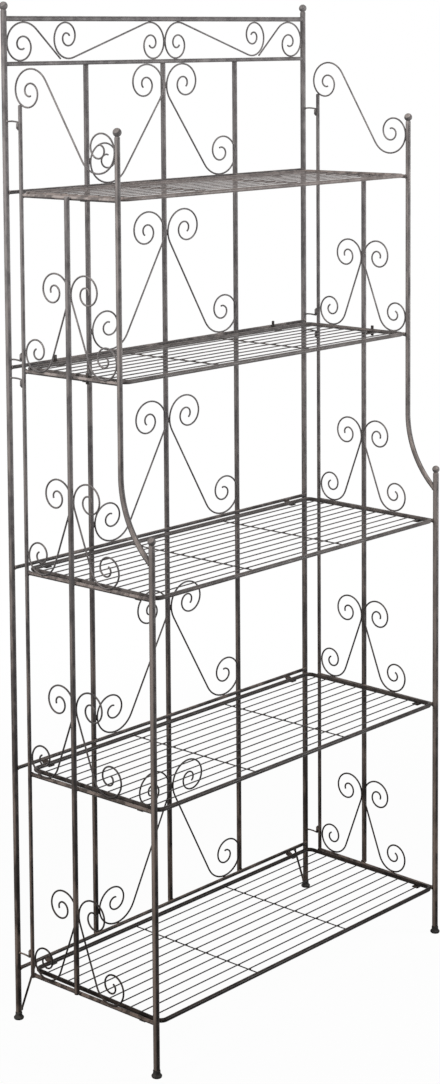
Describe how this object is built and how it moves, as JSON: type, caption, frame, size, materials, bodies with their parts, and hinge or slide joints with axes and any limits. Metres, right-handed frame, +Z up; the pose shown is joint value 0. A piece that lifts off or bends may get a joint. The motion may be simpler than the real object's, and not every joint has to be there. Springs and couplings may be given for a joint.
{
  "type": "plant stand",
  "caption": "Tall folding plant stand in dark antiqued steel: wire shelves on a scrolled back panel and hinged scrolled side panels, deeper in its lower tiers.",
  "frame": {"origin": "on the floor, at the middle of the footprint", "axes": "+Z up, +Y to the back panel, +X to the right hand side panel as seen from the front"},
  "size_m": [0.818, 0.3462, 1.7905],
  "materials": {
    "antique_bronze_light": "antiqued bronze paint, worn paler towards the top",
    "antique_bronze": "dark antiqued bronze paint, satin",
    "antique_bronze_brown": "dark antiqued bronze paint with a brown cast, satin",
    "black_caps": "black moulded foot cap"
  },
  "bodies": {
    "back_frame": {"back_post_left": "antique_bronze", "back_foot_left": "black_caps", "foot_brace_left": "antique_bronze", "back_post_right": "antique_bronze", "back_foot_right": "black_caps", "foot_brace_right": "antique_bronze", "top_rail": "antique_bronze_light", "frieze_rail": "antique_bronze_light", "back_bar_left": "antique_bronze", "back_bar_middle": "antique_bronze", "back_bar_right": "antique_bronze", "frieze_scroll_left": "antique_bronze_light", "frieze_end_left": "antique_bronze_light", "frieze_scroll_right": "antique_bronze_light", "frieze_end_right": "antique_bronze_light", "back_scroll_1_left": "antique_bronze_light", "back_scroll_1_right": "antique_bronze_light", "back_rail_1": "antique_bronze_light", "back_scroll_2_left": "antique_bronze_light", "back_scroll_2_right": "antique_bronze_light", "back_rail_2": "antique_bronze_light", "back_scroll_3_left": "antique_bronze", "back_scroll_3_right": "antique_bronze", "back_rail_3": "antique_bronze", "back_scroll_4_left": "antique_bronze", "back_scroll_4_right": "antique_bronze", "back_rail_4": "antique_bronze", "back_scroll_5_left": "antique_bronze", "back_scroll_5_right": "antique_bronze", "back_rail_5": "antique_bronze"},
    "left_panel": {"left_top_scroll": "antique_bronze_light", "left_rear_post": "antique_bronze", "left_middle_post": "antique_bronze", "left_lower_front_post": "antique_bronze", "left_upper_front_post": "antique_bronze", "left_front_foot": "black_caps", "left_rail_1": "antique_bronze_light", "left_rail_2": "antique_bronze_light", "left_rail_3": "antique_bronze", "left_rail_4": "antique_bronze", "left_rail_5": "antique_bronze"},
    "right_panel": {"right_top_scroll": "antique_bronze_light", "right_rear_post": "antique_bronze", "right_middle_post": "antique_bronze", "right_lower_front_post": "antique_bronze", "right_upper_front_post": "antique_bronze", "right_front_foot": "black_caps", "right_rail_1": "antique_bronze_light", "right_rail_2": "antique_bronze_light", "right_rail_3": "antique_bronze", "right_rail_4": "antique_bronze", "right_rail_5": "antique_bronze"},
    "shelf_1": {"shelf_1": "antique_bronze_brown"},
    "shelf_2": {"shelf_2": "antique_bronze_brown"},
    "shelf_3": {"shelf_3": "antique_bronze_brown"},
    "shelf_4": {"shelf_4": "antique_bronze_brown"},
    "shelf_5": {"shelf_5": "antique_bronze_brown"}
  },
  "joints": [
    {"name": "left_panel_hinge", "type": "hinge", "parent": "back_frame", "child": "left_panel", "pos_m": [-0.4, 0.13213, 0], "axis": [0, 0, -1], "range_deg": [0, 100]},
    {"name": "right_panel_hinge", "type": "hinge", "parent": "back_frame", "child": "right_panel", "pos_m": [0.4, 0.13213, 0], "axis": [0, 0, 1], "range_deg": [0, 100]},
    {"name": "shelf_1_lift", "type": "slide", "parent": "back_frame", "child": "shelf_1", "axis": [0, 0, 1], "range_m": [0, 0.04]},
    {"name": "shelf_2_lift", "type": "slide", "parent": "back_frame", "child": "shelf_2", "axis": [0, 0, 1], "range_m": [0, 0.04]},
    {"name": "shelf_3_lift", "type": "slide", "parent": "back_frame", "child": "shelf_3", "axis": [0, 0, 1], "range_m": [0, 0.04]},
    {"name": "shelf_4_lift", "type": "slide", "parent": "back_frame", "child": "shelf_4", "axis": [0, 0, 1], "range_m": [0, 0.04]},
    {"name": "shelf_5_lift", "type": "slide", "parent": "back_frame", "child": "shelf_5", "axis": [0, 0, 1], "range_m": [0, 0.04]}
  ]
}
